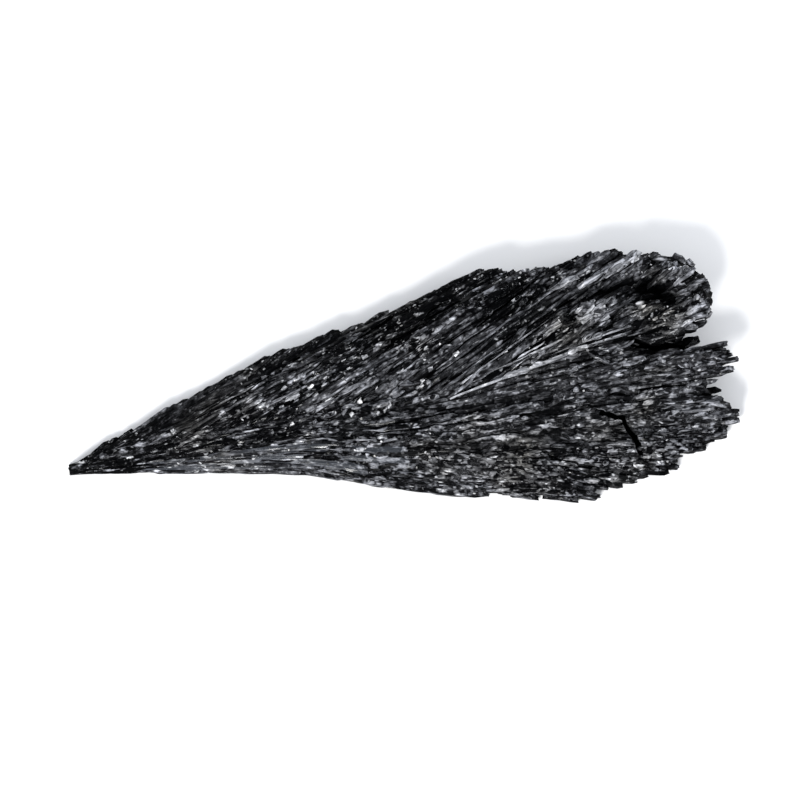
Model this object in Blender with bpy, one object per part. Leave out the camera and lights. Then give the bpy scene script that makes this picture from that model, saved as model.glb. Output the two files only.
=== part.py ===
"""Black kyanite: one loose fan of black blades that grew together from a root.

The fan lies on its flat cleavage face. It spreads from its root, at -X, towards its broken
blade ends, at +X, and +Z is up from the surface that it lies on. Lengths are in metres.
The fan is laid out with its root at (0, 0), and is moved at the end so that the origin is the
middle of the bottom of its bounding box.
"""

import math
import random

import bmesh
import bpy
import numpy as np
from mathutils import Matrix, Vector

MM = 0.001
SEED = 31

NODE_NAME = "black_kyanite"

# Driving dimensions
FAN_LENGTH = 66.0 * MM
FAN_THICKNESS = 8.2 * MM
ROOT_WIDTH = 0.84 * MM  # of each long blade at the root, where they all overlap
ROOT_REACH = 0.5 * MM
TRIM = 0.5 * MM  # how far the lowest blades start under the cleavage face that trims them

# The outline, seen from above: two long edges as y over x, and the broken end as x over y
NEAR_EDGE_X = [0.9, 8.1, 15.2, 22.7, 29.2, 36.5, 44.4, 50.2]
NEAR_EDGE_Y = [-0.4, -1.0, -2.0, -3.4, -5.6, -7.6, -9.5, -10.1]
FAR_EDGE_X = [0.4, 5.3, 14.1, 21.8, 31.7, 43.3, 49.5, 56.5]
FAR_EDGE_Y = [0.5, 2.1, 5.3, 7.7, 9.6, 12.4, 11.8, 12.6]
END_Y = [-10.1, -9.6, -8.3, -6.9, -5.7, -3.2, -0.7, 1.1, 2.6, 4.1, 7.4, 9.7, 10.7, 12.6]
END_X = [48.6, 53.8, 59.3, 62.6, 65.0, 65.4, 67.6, 67.4, 65.4, 62.2, 65.2, 63.6, 61.5, 56.5]

# A fan blade stands at the polar angle of its place at the root, plus its opening times r / length
ROOT_ANGLES = (math.radians(-10.0), math.radians(22.0))
OPENING_ANGLES = (math.radians(-8.0), math.radians(36.0))

# The spine, from which the barbs turn away towards the far edge, and the barbs' headings along it
SPINE_X = [1.0, 20.0, 37.0, 55.4, 62.0]
SPINE_Y = [0.0, 0.2, 0.5, 4.3, 3.6]
BARB_X = [0.0, 18.0, 34.0, 46.0, 62.0]
BARB_HEADING = [17.0, 22.0, 28.0, 25.0, 13.0]

# Height of the top surface, as a share of the thickness: along the fan, and from the near edge
# to the far edge. The fan's height at a point is the product of both
CREST_X = [0.0, 8.0, 22.0, 38.0, 52.0, 66.0]
CREST_ALONG = [0.18, 0.37, 0.63, 0.88, 1.0, 0.90]
CREST_ACROSS = [0.0, 0.22, 0.45, 0.62, 0.85, 1.0]
CREST_SHARE = [0.24, 0.52, 0.82, 1.0, 0.90, 0.60]
UNDERSIDE_SHARE = 0.30  # share of that height by which the underside lifts at the long edges
GROOVE_SHARE = 0.20  # how much more the underside of every third blade lifts

# How many blades each layer has
LOWER_BLADES = 22
MIDDLE_BLADES = 21
TOP_BLADES = 22
BARBS = 30

BEND_SHARE = 0.45  # where along its reach a long blade bends
BEND_OVERLAP = 2.0 * MM
BREAK_DEPTH = 1.3 * MM  # how far the corners of a broken end stand back from each other
TIP_WIDTH = 0.6 * MM  # of a blade that starts inside the fan
BARB_ROOT = 4.0 * MM  # how far behind the spine a barb starts

# The split between the two lobes of the broken end
CREVICE_START = Vector((55.0, 2.6, 0.0)) * MM
CREVICE_END = Vector((70.0, 3.7, 0.0)) * MM
CREVICE_WIDTHS = (0.8 * MM, 2.0 * MM)
CREVICE_FLOORS = (5.0 * MM, 3.0 * MM)

WALK_STEP = 0.4 * MM


def mm_table(value, keys, values):
    """A table in millimetres, read at a length in metres and returned in metres."""
    return float(np.interp(value / MM, keys, values)) * MM


def near_edge(x):
    return mm_table(x, NEAR_EDGE_X, NEAR_EDGE_Y)


def far_edge(x):
    return mm_table(x, FAR_EDGE_X, FAR_EDGE_Y)


def inside_outline(point):
    end = mm_table(point.y, END_Y, END_X)
    return near_edge(point.x) <= point.y <= far_edge(point.x) and point.x <= end


def share_across(point):
    """0 at the near edge and 1 at the far edge."""
    low, high = near_edge(point.x), far_edge(point.x)
    return min(1.0, max(0.0, (point.y - low) / (high - low)))


def crest(point):
    """Height of the fan's top surface above the cleavage face."""
    along = float(np.interp(point.x / MM, CREST_X, CREST_ALONG))
    across = float(np.interp(share_across(point), CREST_ACROSS, CREST_SHARE))
    return FAN_THICKNESS * along * across


def underside(point, groove):
    """Height of the underside, which lifts clear of the surface towards the long edges."""
    off_middle = max(0.0, abs(2 * share_across(point) - 1) - 0.4) / 0.6
    share = UNDERSIDE_SHARE * off_middle + GROOVE_SHARE * groove
    return crest(point) * share if share > 0.02 else -TRIM


def mix(pair, share):
    return pair[0] + (pair[1] - pair[0]) * share


def fan_point(place, reach):
    """Where the fan blade of this place, 0 to 1 from the near side, is at this reach."""
    angle = mix(ROOT_ANGLES, place) + mix(OPENING_ANGLES, place) * reach / FAN_LENGTH
    return Vector((reach * math.cos(angle), reach * math.sin(angle), 0.0))


def barb_point(x, reach):
    """Where the barb that leaves the spine at x is, at this distance from the spine."""
    heading = math.radians(float(np.interp(x / MM, BARB_X, BARB_HEADING)))
    start = Vector((x, mm_table(x, SPINE_X, SPINE_Y), 0.0))
    return start + Vector((math.cos(heading), math.sin(heading), 0.0)) * reach


def reach_to_outline(path, key, shortest):
    """How far along its path a blade gets before it meets the outline."""
    reach = shortest
    while reach < 1.1 * FAN_LENGTH and inside_outline(path(key, reach + WALK_STEP)):
        reach += WALK_STEP
    return reach


def blade(name, start, end, widths, bottoms, tops, rng, break_depth, tilt=0.0):
    """One tapered blade from start to end, with a skewed broken face at its end.

    widths, bottoms and tops each hold the value at the start and at the end. tilt is the share
    by which one long top edge stands higher than the other.
    """
    along = (end - start).normalized()
    across = Vector((-along.y, along.x, 0.0))
    bm = bmesh.new()
    bmesh.ops.create_cube(bm, size=1.0)
    for vert in bm.verts:
        far, side, upper = vert.co.x > 0, 1 if vert.co.y > 0 else -1, vert.co.z > 0
        slip = rng.uniform(-break_depth, 0.0) if far else 0.0
        height = (tops if upper else bottoms)[far]
        if upper:
            height += side * tilt * (tops[far] - bottoms[far])
        vert.co = (end if far else start) + along * slip + across * (side * widths[far] / 2)
        vert.co.z = height
    mesh = bpy.data.meshes.new(name)
    bm.to_mesh(mesh)
    bm.free()
    return mesh


def course(name, count, floor_share, top_share, reach_share, rng):
    """A layer of long blades side by side across the fan, from the root to the outline.

    Its tops are at a share of the crest between the two of top_share, and its floors at
    floor_share, or on the underside where that is 0. The shares of their reach at which the
    blades break off are between the two of reach_share.
    """
    for index in range(count):
        place = (index + 0.5) / count
        reach = reach_to_outline(fan_point, place, 4 * MM)
        reaches = (ROOT_REACH, BEND_SHARE * reach, reach * rng.uniform(*reach_share))
        points = [fan_point(place, reach) for reach in reaches]
        sink = rng.uniform(*top_share)
        tops = [crest(point) * sink for point in points]
        if floor_share:
            floors = [crest(point) * floor_share * rng.uniform(0.9, 1.1) for point in points]
        else:
            groove = index % 3 == 1
            floors = [underside(point, groove) + rng.uniform(-0.1, 0.1) * MM for point in points]
        opening = (OPENING_ANGLES[1] - OPENING_ANGLES[0]) * reach / FAN_LENGTH
        pitch = reach * (ROOT_ANGLES[1] - ROOT_ANGLES[0] + opening) / count
        tilt = rng.uniform(-0.05, 0.05)
        yield blade(name, points[0], points[1], (ROOT_WIDTH, 0.7 * pitch), floors[:2],
                    tops[:2], rng, 0.0)
        overlap = (points[2] - points[1]).normalized() * BEND_OVERLAP
        yield blade(name, points[1] - overlap, points[2], (0.65 * pitch, 1.25 * pitch), floors[1:],
                    tops[1:], rng, BREAK_DEPTH, tilt)


def top_blades(rng):
    """Shorter blades that lie on the near side of the fan, each a step above its neighbours."""
    for index in range(TOP_BLADES):
        place = 0.04 + 0.42 * (index + rng.uniform(0.2, 0.8)) / TOP_BLADES
        reach = reach_to_outline(fan_point, place, 4 * MM)
        start = fan_point(place, reach * rng.uniform(0.15, 0.50))
        end = fan_point(place, reach * rng.uniform(0.70, 0.97))
        tops = [crest(point) * rng.uniform(0.97, 1.05) for point in (start, end)]
        yield blade("top_blade", start, end, (TIP_WIDTH, rng.uniform(1.2, 2.0) * MM),
                    [0.5 * top for top in tops], tops, rng, BREAK_DEPTH, rng.uniform(-0.1, 0.1))


def barbs(rng):
    """Blades that leave the spine and end as barbs along the far edge and the far lobe."""
    for index in range(BARBS):
        x = mix((1.0 * MM, 58.0 * MM), (index + rng.uniform(0.2, 0.8)) / BARBS)
        reach = reach_to_outline(barb_point, x, 1 * MM) * rng.uniform(0.95, 1.0)
        start = barb_point(x, -BARB_ROOT if x > 1.5 * BARB_ROOT else 0.0)
        end = barb_point(x, reach)
        tops = [crest(point) * rng.uniform(0.94, 1.04) for point in (start, end)]
        floor = rng.uniform(0.30, 0.45)
        widths = (TIP_WIDTH, mix((1.0, 2.3), x / FAN_LENGTH) * MM * rng.uniform(0.8, 1.2))
        yield blade("barb", start, end, widths, [floor * top for top in tops], tops, rng,
                    BREAK_DEPTH, rng.uniform(-0.12, 0.04))


def crevice(rng):
    """The open split between the two lobes of the broken end, as a cutter."""
    clear = 1.5 * FAN_THICKNESS
    return blade("crevice", CREVICE_START, CREVICE_END, CREVICE_WIDTHS, CREVICE_FLOORS,
                 (clear, clear), rng, 0.0)


def below_face():
    """A box under the cleavage face, as a cutter."""
    bm = bmesh.new()
    bmesh.ops.create_cube(bm, size=4 * FAN_LENGTH)
    bmesh.ops.translate(bm, vec=(0.0, 0.0, -2 * FAN_LENGTH), verts=bm.verts)
    mesh = bpy.data.meshes.new("below_face")
    bm.to_mesh(mesh)
    bm.free()
    return mesh


def helper(mesh, collection):
    """An object that a Boolean reads and that isn't part of the model."""
    made = bpy.data.objects.new(mesh.name, mesh)
    made.hide_render = True
    made.display_type = "WIRE"
    collection.objects.link(made)
    return made


def add_boolean(target, name, operation, **operand):
    modifier = target.modifiers.new(name, "BOOLEAN")
    modifier.operation = operation
    modifier.solver = "MANIFOLD"
    for key, value in operand.items():
        setattr(modifier, key, value)


def kyanite_material():
    material = bpy.data.materials.new("black_kyanite")
    material.use_nodes = True
    shader = material.node_tree.nodes["Principled BSDF"]
    shader.inputs["Base Color"].default_value = (0.035, 0.036, 0.040, 1.0)
    shader.inputs["Roughness"].default_value = 0.45
    shader.inputs["Metallic"].default_value = 0.0
    return material


def put_origin_at_base(obj):
    """Moves the finished mesh so that the origin is the middle of the bottom of its box."""
    corners = np.array([vert.co for vert in obj.data.vertices])
    low, high = corners.min(axis=0), corners.max(axis=0)
    middle = (low + high) / 2
    obj.data.transform(Matrix.Translation((-middle[0], -middle[1], -low[2])))


def new_collection(name):
    collection = bpy.data.collections.new(name)
    bpy.context.scene.collection.children.link(collection)
    return collection


def main():
    for obj in list(bpy.data.objects):
        bpy.data.objects.remove(obj)
    model = new_collection("black_kyanite")
    blades = new_collection("blades")
    cutters = new_collection("cutters")
    rng = random.Random(SEED)

    meshes = [
        *course("lower_blade", LOWER_BLADES, 0.0, (0.42, 0.56), (0.96, 1.0), rng),
        *course("middle_blade", MIDDLE_BLADES, 0.3, (0.72, 0.92), (0.94, 1.0), rng),
        *top_blades(rng),
        *barbs(rng),
    ]
    fan = bpy.data.objects.new(NODE_NAME, meshes[0])
    model.objects.link(fan)
    for mesh in meshes[1:]:
        helper(mesh, blades)
    add_boolean(fan, "grow_together", "UNION", operand_type="COLLECTION", collection=blades)
    for mesh in (below_face(), crevice(rng)):
        add_boolean(fan, mesh.name, "DIFFERENCE", object=helper(mesh, cutters))

    graph = bpy.context.evaluated_depsgraph_get()
    fan_mesh = bpy.data.meshes.new_from_object(fan.evaluated_get(graph))
    fan.modifiers.clear()
    fan.data = fan_mesh
    fan_mesh.name = NODE_NAME
    fan_mesh.materials.clear()
    fan_mesh.materials.append(kyanite_material())
    put_origin_at_base(fan)


main()
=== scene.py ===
"""Black kyanite: one loose fan of black blades that grew together from a narrow root.

Every blade is a guide line, whose points say how wide, high and rolled the blade is there. One
node tree sweeps a striated, broken-off blade along each line and grows them all together, and a
second one strews splinters and mica flakes over them. Lengths are in metres, and tables in mm.
"""

import math
import random

import bmesh
import bpy
import numpy as np
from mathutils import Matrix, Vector, noise


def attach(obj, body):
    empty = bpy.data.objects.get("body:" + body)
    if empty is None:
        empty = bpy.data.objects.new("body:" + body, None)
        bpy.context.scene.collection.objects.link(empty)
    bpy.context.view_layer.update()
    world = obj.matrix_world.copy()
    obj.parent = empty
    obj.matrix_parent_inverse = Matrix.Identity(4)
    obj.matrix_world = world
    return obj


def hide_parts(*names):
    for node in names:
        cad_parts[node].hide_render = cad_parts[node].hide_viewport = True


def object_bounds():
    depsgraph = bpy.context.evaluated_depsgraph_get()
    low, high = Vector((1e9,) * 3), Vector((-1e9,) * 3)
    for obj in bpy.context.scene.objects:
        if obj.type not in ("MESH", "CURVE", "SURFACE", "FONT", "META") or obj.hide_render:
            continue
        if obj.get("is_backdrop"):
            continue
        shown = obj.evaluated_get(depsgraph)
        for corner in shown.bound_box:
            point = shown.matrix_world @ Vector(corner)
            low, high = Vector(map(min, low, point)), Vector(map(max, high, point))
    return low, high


MM = 0.001
SEED = 5

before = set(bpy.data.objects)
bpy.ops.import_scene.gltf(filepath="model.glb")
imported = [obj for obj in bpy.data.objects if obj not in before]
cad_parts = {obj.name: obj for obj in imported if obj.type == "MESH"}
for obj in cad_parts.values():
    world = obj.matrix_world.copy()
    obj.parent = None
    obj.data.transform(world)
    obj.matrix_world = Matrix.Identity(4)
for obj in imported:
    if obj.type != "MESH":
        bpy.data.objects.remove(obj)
CAD_LOW, CAD_HIGH = (Vector(corner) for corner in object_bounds())

# ---- the fan's plan and relief
# The guide lines are laid out with the root at (0, 0), which is here in the frame
ROOT = Vector((CAD_LOW.x + 0.2 * MM, CAD_LOW.y + 10.8 * MM, 0.0))

FAN_LENGTH = 66.0 * MM
FAN_THICKNESS = 0.965 * CAD_HIGH.z

# The outline from above: two long edges as y over x, and the broken end as x over y
NEAR_EDGE_X = [0, 0.9, 8.1, 15.2, 22.7, 29.2, 36.5, 40.2, 40.5, 44.8, 45.2, 46.8, 48.7, 50.9]
NEAR_EDGE_Y = [-0.5, -0.5, -1.3, -2.4, -3.8, -6.1, -8.2, -9.1, -8.4, -10, -9.4, -10.2, -10.9,
               -10.9]
FAR_EDGE_X = [0, 0.4, 5.3, 14.1, 21.8, 31.7, 43.3, 48, 50.6, 53.9, 56.5]
FAR_EDGE_Y = [0.6, 0.6, 2.3, 5.6, 8.2, 10.1, 13, 12.2, 12.3, 13.2, 13.2]
END_Y = [-10.9, -10.3, -9.7, -9.45, -9.2, -8.5, -7.6, -7.3, -6.8, -5.7, -4.7, -3.6, -2.9, -2,
         -1, 0.4, 1.1, 2.4, 3.1, 3.8, 4.6, 5.6, 7.4, 9, 10, 11.2, 13.2]
END_X = [50.9, 50.8, 55.8, 55, 58.9, 58.6, 61.9, 61.4, 63.9, 65.3, 65.2, 64.6, 64.2, 65.2,
         66.1, 66, 65.8, 65, 63.3, 63.7, 64, 64.2, 64.6, 64.1, 63, 61, 56.5]

# A long blade stands at the polar angle of its place between these two, which follow the near
# edge and open towards the far one, as the blade runs out from the root
FIELD_REACH = [0, 8, 15, 23, 30, 37, 45, 66]
NEAR_ANGLE = [-9, -8, -8.2, -8.8, -11, -11.9, -11.9, -13.5]
FAR_ANGLE = [22, 26, 30, 34, 38, 42, 46, 58]

# The spine, from which barbs turn away to the far edge, and their headings along it
SPINE_X = [1, 20, 37, 55.4, 62]
SPINE_Y = [0, 0.2, 0.5, 4.3, 3.6]
BARB_X = [0, 18, 34, 46, 62]
BARB_HEADING = [17, 22, 28, 25, 13]

# The height is the thickness times a share along the fan, times one from the near to the far edge
CREST_X = [0, 8, 22, 38, 52, 66]
CREST_ALONG = [0.18, 0.37, 0.63, 0.88, 1, 0.92]
CREST_ACROSS = [0, 0.12, 0.25, 0.45, 0.6, 0.85, 1]
CREST_SHARE = [0.2, 0.38, 0.54, 0.78, 0.93, 0.84, 0.56]
UNDERSIDE_SHARE = 0.3  # share of that height by which the underside lifts at the long edges
TRIM = 0.4 * MM  # how far the lowest blades start under the face that trims them
TOOTHED_FROM = 38.0 * MM  # where the near edge's teeth start
TOOTH_SLACK = 0.2 * MM
WALK_STEP = 0.25 * MM
GUIDE_STEP = 1.2 * MM

# Hollows in the top: middle x and y, heading, half length, half width and share of the height lost
HOLLOWS = (
    (58.4, 7.9, -27, 2.9, 1.2, 0.5), (54.3, 8.4, 20, 1.5, 0.5, 0.2),
    (48, 1.7, 11.2, 7, 0.3, 0.08), (45.5, 3.9, 20, 5, 0.35, 0.12),
    (62.6, -2.7, 0, 2.2, 0.5, 0.22), (41, 5.5, 30, 4, 0.5, 0.16),
    (61, 2.4, 0, 5.5, 0.7, 0.42), (54.7, 6.2, 60, 1.9, 0.4, 0.3),
    (50.2, 6.4, 70, 1.7, 0.4, 0.26), (52.6, 8.3, 20, 2.4, 0.35, 0.24),
    (46.5, 8.6, 26, 3, 0.8, 0.14), (53.6, -5.2, -65, 2.6, 0.5, 0.16),
    (56, -1, -8, 4, 0.6, 0.12), (33, 6.5, 24, 4, 0.7, 0.14),
    (24, 1.2, 8, 4.5, 0.6, 0.12),
)
# The swells that lie along the fan between them
SWELL_LENGTH, SWELL_WIDTH = 3.5 * MM, 1.6 * MM
SWELL_SHARE, SWELL_SEED = 0.1, 4.0


def table(value, keys, values):
    return float(np.interp(value, keys, values))


def mm_table(value, keys, values):
    """A table in millimetres, read at a length in metres and returned in metres."""
    return table(value / MM, keys, values) * MM


def spot(x, y):
    """A place in the plan, given in millimetres."""
    return Vector((x, y, 0.0)) * MM


def direction(heading, turn=0.0):
    """The level unit vector that is turned from +X by both of these angles, in degrees."""
    angle = math.radians(heading) + math.radians(turn)
    return Vector((math.cos(angle), math.sin(angle), 0.0))


def mix(pair, share):
    return pair[0] + (pair[1] - pair[0]) * share


def near_edge(x):
    return mm_table(x, NEAR_EDGE_X, NEAR_EDGE_Y)


def far_edge(x):
    return mm_table(x, FAR_EDGE_X, FAR_EDGE_Y)


def margin(point):
    """How far inside the outline a point is, or outside it with a minus."""
    end = mm_table(point.y, END_Y, END_X)
    return min(point.y - near_edge(point.x), far_edge(point.x) - point.y, end - point.x)


def kept_inside(width, points):
    """The width that a blade may have without passing the near edge where that is toothed."""
    rooms = [point.y - near_edge(point.x) for point in points if point.x > TOOTHED_FROM]
    return min([width] + [2.0 * max(0.0, room) + TOOTH_SLACK for room in rooms])


def share_across(point):
    """0 at the near edge and 1 at the far edge."""
    low, high = near_edge(point.x), far_edge(point.x)
    return min(1.0, max(0.0, (point.y - low) / (high - low)))


def plain_crest(point):
    """Height of the fan's top, without its hollows, above the surface that it lies on."""
    along = table(point.x / MM, CREST_X, CREST_ALONG)
    across = table(share_across(point), CREST_ACROSS, CREST_SHARE)
    return FAN_THICKNESS * along * across


def crest(point):
    """Height of the fan's top where it swells and sinks."""
    place = Vector((point.x / SWELL_LENGTH, point.y / SWELL_WIDTH, SWELL_SEED))
    swell = 1.0 + SWELL_SHARE * noise.noise(place)
    for x, y, heading, half_length, half_width, depth in HOLLOWS:
        offset, turn = point - spot(x, y), math.radians(heading)
        u = (offset.x * math.cos(turn) + offset.y * math.sin(turn)) / (half_length * MM)
        v = (offset.y * math.cos(turn) - offset.x * math.sin(turn)) / (half_width * MM)
        swell *= 1.0 - depth * math.exp(-((u * u + v * v) ** 1.5))
    return plain_crest(point) * swell


def crumbliness(point):
    """0 where the blades run on in long strands, 1 where they have crumbled to short flecks."""
    along = table(point.x / MM, (8.0, 32.0), (0.0, 1.0))
    far = table(point.x / MM, (32.0, 46.0), (0.55, 0.12))
    return mix((0.25, 1.0), along * table(share_across(point), (0.4, 0.62), (1.0, far)))


# Darker zones, and paler ones with a minus: how much, and its weights by x and by the share across
SHADE_ZONES = (
    (1.3, (0, 6, 11), (1, 0.9, 0), (0.35, 0.75), (1.3, 0.5)),
    (0.7, (6, 12, 19, 25, 38), (0, 1, 1, 0.4, 0), (0.5, 0.6), (1, 0)),
    # Painted shade along the far edge, between 18 and 48 mm
    (1.3, (18, 24, 30, 44, 48), (0, 0.6, 0.6, 1, 0), (0.74, 0.86), (0, 1)),
    # Painted light, as a minus, by the near edge on the side that faces the key light
    (-0.9, (5, 9, 19, 24), (0, 1, 1, 0), (0.12, 0.28), (1, 0)),
    (0.4, (38, 44), (0, 1), (0.1, 0.25), (1, 0)),
    (0.4, (44, 48, 58, 61), (0, 1, 1, 0), (0.58, 0.65, 0.78, 0.85), (0, 1, 1, 0)),
)


def darkening(point):
    """How much darker the blades are here than on most of the fan, with painted shade along the
    far edge and painted light, as a minus, by the near edge.
    """
    x, across = point.x / MM, share_across(point)
    return sum(amount * table(x, places, along) * table(across, shares, crosswise)
               for amount, places, along, shares, crosswise in SHADE_ZONES)


def underside(point):
    """Height of the underside, which is trimmed flat in the middle and lifts to the long edges."""
    off_middle = max(0.0, abs(2 * share_across(point) - 1) - 0.4) / 0.6
    return mix((-TRIM, crest(point) * UNDERSIDE_SHARE), off_middle)


def fan_point(place, reach):
    """Where the long blade of this place, 0 to 1 from the near side, is at this reach."""
    near = table(reach / MM, FIELD_REACH, NEAR_ANGLE)
    far = table(reach / MM, FIELD_REACH, FAR_ANGLE)
    angle = math.radians(mix((near, far), place))
    return Vector((reach * math.cos(angle), reach * math.sin(angle), 0.0))


def barb_point(x, reach):
    """Where the barb that leaves the spine at x is, at this distance from the spine."""
    along = direction(table(x / MM, BARB_X, BARB_HEADING))
    return Vector((x, mm_table(x, SPINE_X, SPINE_Y), 0.0)) + along * reach


def reach_to_outline(path, key, shortest=4 * MM):
    """How far along its path a blade gets before it meets the outline."""
    reach = shortest
    while reach < 1.1 * FAN_LENGTH and margin(path(key, reach + WALK_STEP)) >= 0.0:
        reach += WALK_STEP
    return reach


# ---- guide lines of the blades
GUIDE_VALUES = ("width", "floor", "top", "roll", "polish", "pale", "cut", "open_height", "crumb",
                "margin")


class Guides:
    """Lines of points that carry each blade's size, as the mesh that the blades are swept on."""

    def __init__(self):
        self.points, self.edges, self.blades = [], [], []
        self.values = {name: [] for name in GUIDE_VALUES}

    def add(self, points, widths, floors, tops, roll=0.0, polish=0.0, pale=0.0, cut=0.0):
        """One blade, or a cutter if cut is 1, from its two widths and its heights at each point.

        The floors may also be one share of the tops.
        """
        if isinstance(floors, float):
            floors = [floors * top for top in tops]
        first, blade = len(self.points), (self.blades[-1] + 1 if self.blades else 0)
        for index, point in enumerate(points):
            share = index / (len(points) - 1)
            self.points.append(ROOT + point)
            self.blades.append(blade)
            # A point under this height is painted darker, as shade
            open_height = 0.6 * crest(point) + 0.4 * plain_crest(point)
            # The paleness takes in the zones' painted shade and painted light
            row = (mix(widths, share), floors[index], tops[index], roll, polish,
                   pale - darkening(point), cut, open_height, crumbliness(point), margin(point))
            for name, value in zip(GUIDE_VALUES, row):
                self.values[name].append(value)
            if index:
                self.edges.append((first + index - 1, first + index))

    def mesh(self, name):
        made = bpy.data.meshes.new(name)
        made.from_pydata([(p.x, p.y, 0.0) for p in self.points], self.edges, [])
        for value_name, values in (*self.values.items(), ("blade", self.blades)):
            kind = "INT" if value_name == "blade" else "FLOAT"
            made.attributes.new(value_name, kind, "POINT").data.foreach_set("value", values)
        return made


def path_points(path, key, start, end, wander=0.0, rng=None):
    """Points along a path between two reaches, about a guide step apart."""
    count = max(3, round((end - start) / GUIDE_STEP) + 1)
    points = [path(key, mix((start, end), index / (count - 1))) for index in range(count)]
    if wander:
        sway = [rng.uniform(-wander, wander) for _ in points]
        points = [point + Vector((0.0, step, 0.0)) for point, step in zip(points, sway)]
    return points


def short_blade(middle, half):
    """Three points in line, or None where one of them is outside the outline."""
    points = [middle + half * side for side in (-1, 0, 1)]
    return points if all(margin(point) >= 0.0 for point in points) else None


def core_blades(guides, rng, count=56):
    """Long blades side by side that fill the fan under the ones that show."""
    for index in range(count):
        place = ((index + 0.5) / count) ** 1.35
        reach = reach_to_outline(fan_point, place) * rng.uniform(0.915, 0.96)
        start = rng.uniform(-0.25, 0.1) * MM if place < 0.45 else rng.uniform(1.0, 1.7) * MM
        points = path_points(fan_point, place, start, reach)
        sink = rng.uniform(0.82, 0.95)
        floors = [underside(point) + rng.uniform(-0.1, 0.25) * MM for point in points]
        tops = [crest(point) * sink for point in points]
        widths = (0.6 * MM, kept_inside((reach * 2.2) / count, points))
        guides.add(points, widths, floors, tops, rng.uniform(-0.2, 0.2) * MM)


def side_courses(guides, rng, count=46):
    """Layers under the top whose ends show as steps along the outline."""
    for floor_share, top_share in ((0.02, 0.26), (0.22, 0.46), (0.4, 0.62), (0.56, 0.8)):
        for index in range(count):
            place = (index + rng.uniform(0.1, 0.9)) / count
            reach = reach_to_outline(fan_point, place)
            end = reach * rng.uniform(0.945, 0.995)
            points = path_points(fan_point, place, end * rng.uniform(0.3, 0.7), end)
            pairs = [(max(underside(point), 0.0), crest(point)) for point in points]
            lift = rng.uniform(-0.04, 0.06)
            floors = [mix(pair, max(0.0, floor_share + lift)) for pair in pairs]
            tops = [mix(pair, top_share + lift) for pair in pairs]
            width = kept_inside(rng.uniform(0.5, 1.25) * MM, points)
            guides.add(points, (0.35 * MM, width), floors, tops, rng.uniform(-0.25, 0.25) * width)


def stepped(rng, points, lifts, dip, least):
    """The floors and tops of a blade that stands above or below the ones beside it."""
    lift = rng.uniform(*lifts) * MM
    dip = rng.uniform(-dip, dip) * MM
    tops = [crest(p) + (lift + dip * (n / len(points) - 0.5)) * (least + p.x / FAN_LENGTH)
            for n, p in enumerate(points)]
    thickness = rng.uniform(1.0, 2.4) * MM
    return [max(0.35 * top, top - thickness) for top in tops], tops


def near_blades(guides, rng, count=320):
    """The fine blades that cover the near side and the round end, many of them broken short."""
    for index in range(count):
        place = 0.31 * (index * 0.618 % 1.0)
        reach = reach_to_outline(fan_point, place)
        whole = rng.random() < 0.35
        end = reach * (rng.uniform(0.95, 1.0) if whole else rng.uniform(0.2, 0.95))
        length = mix((3.0, 16.0), rng.random() ** 1.5) * MM
        start = max(end - length, 1.5 * MM)
        points = path_points(fan_point, place, start, end, 0.1 * MM, rng)
        floors, tops = stepped(rng, points, (-0.5, 0.3), 0.35, 0.35)
        width = mix((0.35, 0.95), rng.random() ** 1.5) * MM
        width = kept_inside(width * (0.6 + 0.5 * points[-1].x / FAN_LENGTH), points)
        guides.add(points, (0.6 * width, width), floors, tops, rng.uniform(-0.4, 0.4) * width)


def barbs(guides, rng, count=270):
    """The blades that leave the spine in steps, and end as barbs along the far edge."""
    for index in range(count):
        x = mix((1.0 * MM, 58.0 * MM), (index + rng.random()) / count)
        full = reach_to_outline(barb_point, x, 1 * MM)
        if rng.random() < 0.3:
            start, end = rng.uniform(0.0, 0.25) * full, full * rng.uniform(0.95, 1.0)
        else:
            start = full * rng.uniform(0.0, 0.8)
            end = min(full, start + rng.uniform(1.6, 7.0) * MM)
        points = path_points(barb_point, x, start, end, 0.1 * MM, rng)
        floors, tops = stepped(rng, points, (-0.8, 0.4), 0.5, 0.3)
        width = mix((0.45, 1.15), x / FAN_LENGTH) * rng.uniform(0.6, 1.2) * MM
        roll = rng.uniform(-0.45, 0.3) * width
        shade = rng.uniform(-1.0, 0.9)
        guides.add(points, (0.5 * width, width), floors, tops, roll, 0.0, shade)


def edge_teeth(guides, rng, count=80):
    """Small broken blades whose ends make the saw-toothed near edge of the broad part."""
    for index in range(count):
        x = mix((38.0, 63.5), (index + rng.random()) / count) * MM
        low = near_edge(x)
        while margin(Vector((x, low, 0.0))) < 0.0:
            low += 0.2 * MM
        tip = Vector((x, low + rng.uniform(0.3, 2.6) * MM, 0.0))
        heading = table(x / MM, (38, 46, 54, 64), (-14, -23, -20, -8))
        back = direction(heading, rng.gauss(0.0, 3.0)) * rng.uniform(1.8, 6.0) * MM
        points = [tip - back * share for share in (1.0, 0.5, 0.0)]
        if margin(points[0]) < 0.7 * MM:
            continue
        lift = rng.uniform(-0.3, 0.25) * MM
        tops = [crest(point) + lift for point in points]
        width = rng.uniform(0.5, 1.1) * MM
        guides.add(points, (width, 0.8 * width), 0.35, tops, rng.uniform(-0.3, 0.3) * width)


def lumps(guides, rng, count, xs, ys, headings, lifts, most_slope, floor, widths, most_roll):
    """Short blades that make a part of the broken end blocky."""
    for _ in range(count):
        middle = spot(rng.uniform(*xs), rng.uniform(*ys))
        along = direction(rng.gauss(*headings))
        points = short_blade(middle, along * (rng.uniform(0.7, 2.0) * MM))
        if not points:
            continue
        lift = rng.uniform(*lifts) * MM
        slope = rng.uniform(-most_slope, most_slope) * MM if most_slope else 0.0
        tops = [crest(point) + lift + slope * side for point, side in zip(points, (-1, 0, 1))]
        width = rng.uniform(*widths) * MM
        roll = rng.uniform(-most_roll, most_roll) * width
        guides.add(points, (width, width), floor, tops, roll)


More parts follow.
